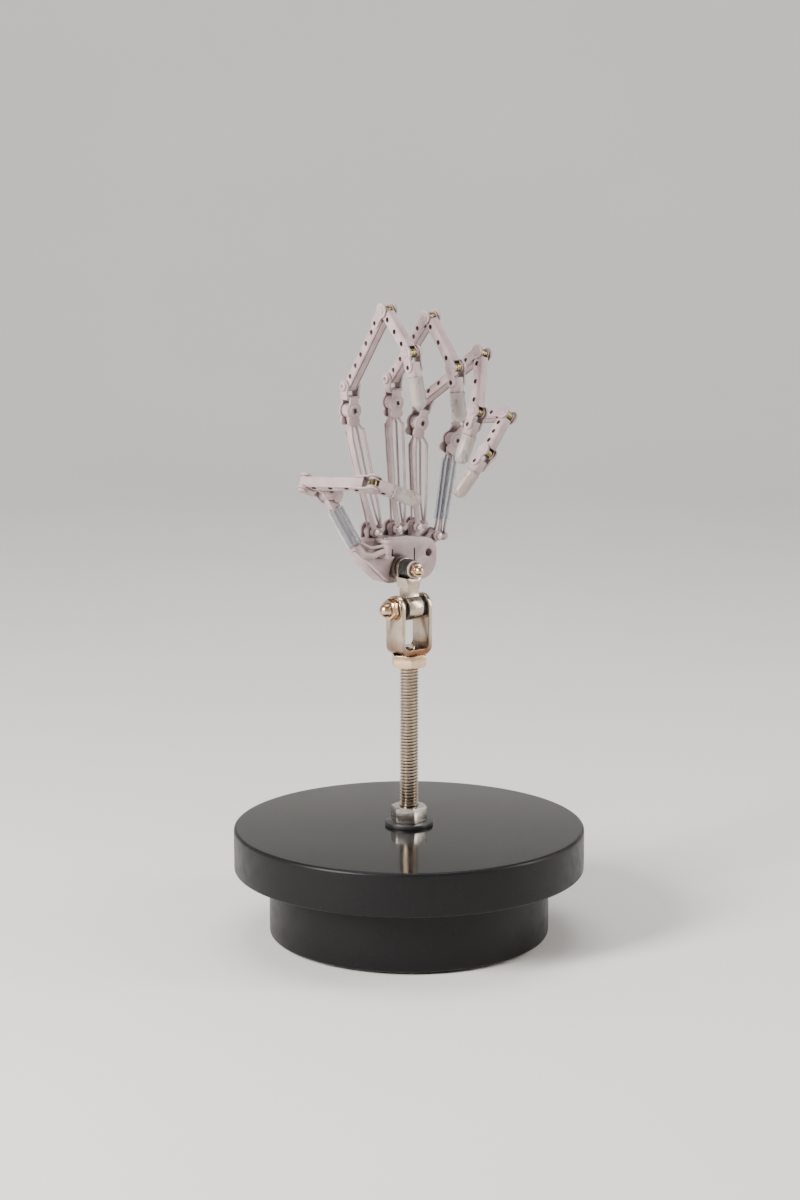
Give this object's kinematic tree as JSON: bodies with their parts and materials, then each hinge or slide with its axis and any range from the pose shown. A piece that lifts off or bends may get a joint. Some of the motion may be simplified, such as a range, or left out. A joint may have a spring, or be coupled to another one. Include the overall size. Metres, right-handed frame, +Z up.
{
  "type": "articulated mechanical hand",
  "caption": "Articulated mechanical hand of hinged links with capped fingertips, on a threaded rod with a double swivel and a round stepped base.",
  "frame": {"origin": "centre of the base at the level of the rubber foot ring that it stands on", "axes": "+Z up along the threaded rod; -Y towards the viewer of the palm side; the hand faces 38 degrees to the right of -Y"},
  "size_m": [0.11, 0.11, 0.1992],
  "materials": {
    "base_gloss": "high gloss black lacquer on top, satin rim",
    "base_matte": "satin black",
    "foot_rubber": "matte",
    "screw_steel": "zinc plated",
    "rod_nickel": "warm nickel plate",
    "nut_brass": "warm nickel over brass, browned",
    "washer_black": "black oxide",
    "fork_nickel": "warm nickel with brown patina",
    "spacer_rubber": "smooth matte",
    "boss_dark": "satin dark brown-black",
    "pin_nickel": "satin",
    "rivet_brass": "dull brass",
    "hand_plastic": "warm pinkish grey, satin",
    "sleeve_clear": "clear soft tube",
    "cap_milky": "milky translucent"
  },
  "bodies": {
    "stand": {"base_lid": "base_gloss", "base_drum": "base_matte", "bottom_cover": "base_matte", "cover_screws": "screw_steel", "foot_ring": "foot_rubber", "threaded_rod": "rod_nickel", "rod_nuts": "nut_brass", "rod_washers": "washer_black", "rod_fork": "fork_nickel", "fork_bolt": "nut_brass", "fork_nut": "nut_brass", "fork_spacers": "spacer_rubber"},
    "swivel": {"swivel_link": "fork_nickel", "wrist_bolt": "nut_brass", "wrist_nut": "nut_brass", "wrist_spacer": "spacer_rubber"},
    "palm": {"palm_block": "hand_plastic", "wrist_boss_pad": "boss_dark", "palm_hinge_pins": "pin_nickel"},
    "thumb_base": {"thumb_metacarpal": "hand_plastic", "thumb_sleeve": "sleeve_clear"},
    "thumb_knuckle": {"thumb_knuckle": "hand_plastic", "thumb_knuckle_pins": "pin_nickel"},
    "thumb_proximal": {"thumb_proximal": "hand_plastic"},
    "thumb_tip": {"thumb_distal": "hand_plastic", "thumb_tip_cap": "cap_milky", "thumb_link_rivet": "rivet_brass"},
    "index_metacarpal": {"index_metacarpal": "hand_plastic"},
    "index_knuckle": {"index_knuckle": "hand_plastic", "index_knuckle_pins": "pin_nickel"},
    "index_proximal": {"index_proximal": "hand_plastic"},
    "index_middle": {"index_middle": "hand_plastic", "index_link_rivets": "rivet_brass"},
    "index_tip": {"index_distal": "hand_plastic", "index_tip_cap": "cap_milky"},
    "middle_metacarpal": {"middle_metacarpal": "hand_plastic"},
    "middle_knuckle": {"middle_knuckle": "hand_plastic", "middle_knuckle_pins": "pin_nickel"},
    "middle_proximal": {"middle_proximal": "hand_plastic"},
    "middle_middle": {"middle_middle": "hand_plastic", "middle_link_rivets": "rivet_brass"},
    "middle_tip": {"middle_distal": "hand_plastic", "middle_tip_cap": "cap_milky"},
    "ring_metacarpal": {"ring_metacarpal": "hand_plastic"},
    "ring_knuckle": {"ring_knuckle": "hand_plastic", "ring_knuckle_pins": "pin_nickel"},
    "ring_proximal": {"ring_proximal": "hand_plastic"},
    "ring_middle": {"ring_middle": "hand_plastic", "ring_link_rivets": "rivet_brass"},
    "ring_tip": {"ring_distal": "hand_plastic", "ring_tip_cap": "cap_milky"},
    "little_metacarpal": {"little_metacarpal": "hand_plastic", "little_sleeve": "sleeve_clear"},
    "little_knuckle": {"little_knuckle": "hand_plastic", "little_knuckle_pins": "pin_nickel"},
    "little_proximal": {"little_proximal": "hand_plastic"},
    "little_middle": {"little_middle": "hand_plastic", "little_link_rivets": "rivet_brass"},
    "little_tip": {"little_distal": "hand_plastic", "little_tip_cap": "cap_milky"}
  },
  "joints": [
    {"name": "fork_tilt", "type": "hinge", "parent": "stand", "child": "swivel", "pos_m": [0, 0, 0.1043], "axis": [0.788, 0.6157, 0], "range_deg": [-30, 60]},
    {"name": "wrist_turn", "type": "hinge", "parent": "swivel", "child": "palm", "pos_m": [0, 0, 0.1164], "axis": [0.6157, -0.788, 0], "range_deg": [-40, 40]},
    {"name": "thumb_swing", "type": "hinge", "parent": "palm", "child": "thumb_base", "pos_m": [-0.00697, -0.00164, 0.1229], "axis": [0, 0, 1], "range_deg": [-5, 15]},
    {"name": "thumb_spread", "type": "hinge", "parent": "thumb_base", "child": "thumb_knuckle", "pos_m": [-0.02515, -0.0054, 0.14054], "axis": [-0.4878, 0.7806, -0.3907], "range_deg": [-5, 8]},
    {"name": "thumb_base_flex", "type": "hinge", "parent": "thumb_knuckle", "child": "thumb_proximal", "pos_m": [-0.03189, -0.00782, 0.14411], "axis": [0.23, 0.5467, 0.8051], "range_deg": [-127, 0]},
    {"name": "thumb_tip_flex", "type": "hinge", "parent": "thumb_proximal", "child": "thumb_tip", "pos_m": [-0.01083, -0.01819, 0.14513], "axis": [0.23, 0.5467, 0.8051], "range_deg": [-43, 30]},
    {"name": "index_splay", "type": "hinge", "parent": "palm", "child": "index_metacarpal", "pos_m": [-0.01141, 0.00251, 0.12749], "axis": [-0.6229, 0.7816, 0.0335], "range_deg": [-4, 4]},
    {"name": "index_spread", "type": "hinge", "parent": "index_metacarpal", "child": "index_knuckle", "pos_m": [-0.01799, -0.00439, 0.16585], "axis": [-0.6229, 0.7816, 0.0335], "range_deg": [-8, 8]},
    {"name": "index_base_flex", "type": "hinge", "parent": "index_knuckle", "child": "index_proximal", "pos_m": [-0.01794, -0.00467, 0.17334], "axis": [0.7823, 0.6227, 0.0176], "range_deg": [-36, 10]},
    {"name": "index_middle_flex", "type": "hinge", "parent": "index_proximal", "child": "index_middle", "pos_m": [-0.00678, -0.01935, 0.197], "axis": [0.7823, 0.6227, 0.0176], "range_deg": [-98, 6]},
    {"name": "index_tip_flex", "type": "hinge", "parent": "index_middle", "child": "index_tip", "pos_m": [0.00053, -0.0282, 0.18515], "axis": [0.7823, 0.6227, 0.0176], "range_deg": [-31, 20]},
    {"name": "middle_splay", "type": "hinge", "parent": "palm", "child": "middle_metacarpal", "pos_m": [-0.00435, 0.00802, 0.12777], "axis": [-0.6177, 0.7857, 0.0348], "range_deg": [-4, 4]},
    {"name": "middle_spread", "type": "hinge", "parent": "middle_metacarpal", "child": "middle_knuckle", "pos_m": [-0.00504, 0.00573, 0.16723], "axis": [-0.6177, 0.7857, 0.0348], "range_deg": [-8, 8]},
    {"name": "middle_base_flex", "type": "hinge", "parent": "middle_knuckle", "child": "middle_proximal", "pos_m": [-0.00508, 0.00537, 0.17472], "axis": [0.7864, 0.6167, 0.0349], "range_deg": [-42, 10]},
    {"name": "middle_middle_flex", "type": "hinge", "parent": "middle_proximal", "child": "middle_middle", "pos_m": [0.00616, -0.01009, 0.19449], "axis": [0.7864, 0.6167, 0.0349], "range_deg": [-97, 6]},
    {"name": "middle_tip_flex", "type": "hinge", "parent": "middle_middle", "child": "middle_tip", "pos_m": [0.01374, -0.01894, 0.18012], "axis": [0.7864, 0.6167, 0.0349], "range_deg": [-36, 20]},
    {"name": "ring_splay", "type": "hinge", "parent": "palm", "child": "ring_metacarpal", "pos_m": [0.00195, 0.01294, 0.12777], "axis": [-0.6193, 0.7803, 0.0868], "range_deg": [-4, 4]},
    {"name": "ring_spread", "type": "hinge", "parent": "ring_metacarpal", "child": "ring_knuckle", "pos_m": [0.00264, 0.00983, 0.16065], "axis": [-0.6193, 0.7803, 0.0868], "range_deg": [-8, 8]},
    {"name": "ring_base_flex", "type": "hinge", "parent": "ring_knuckle", "child": "ring_proximal", "pos_m": [0.00474, 0.01071, 0.1678], "axis": [0.7334, 0.6144, -0.291], "range_deg": [-48, 10]},
    {"name": "ring_middle_flex", "type": "hinge", "parent": "ring_proximal", "child": "ring_middle", "pos_m": [0.02191, -0.00259, 0.18298], "axis": [0.7334, 0.6144, -0.291], "range_deg": [-114, 6]},
    {"name": "ring_tip_flex", "type": "hinge", "parent": "ring_middle", "child": "ring_tip", "pos_m": [0.02052, -0.0091, 0.16572], "axis": [0.7334, 0.6144, -0.291], "range_deg": [-22, 20]},
    {"name": "little_splay", "type": "hinge", "parent": "palm", "child": "little_metacarpal", "pos_m": [0.00826, 0.01788, 0.12411], "axis": [-0.6091, 0.7914, 0.0518], "range_deg": [-4, 4]},
    {"name": "little_spread", "type": "hinge", "parent": "little_metacarpal", "child": "little_knuckle", "pos_m": [0.01375, 0.02014, 0.15406], "axis": [-0.6091, 0.7914, 0.0518], "range_deg": [-8, 8]},
    {"name": "little_base_flex", "type": "hinge", "parent": "little_knuckle", "child": "little_proximal", "pos_m": [0.01751, 0.0226, 0.16068], "axis": [0.6392, 0.5285, -0.5586], "range_deg": [-78, 10]},
    {"name": "little_middle_flex", "type": "hinge", "parent": "little_proximal", "child": "little_middle", "pos_m": [0.03034, 0.00946, 0.16293], "axis": [0.6392, 0.5285, -0.5586], "range_deg": [-102, 6]},
    {"name": "little_tip_flex", "type": "hinge", "parent": "little_middle", "child": "little_tip", "pos_m": [0.024, 0.00531, 0.15176], "axis": [0.6392, 0.5285, -0.5586], "range_deg": [-11, 20]}
  ]
}
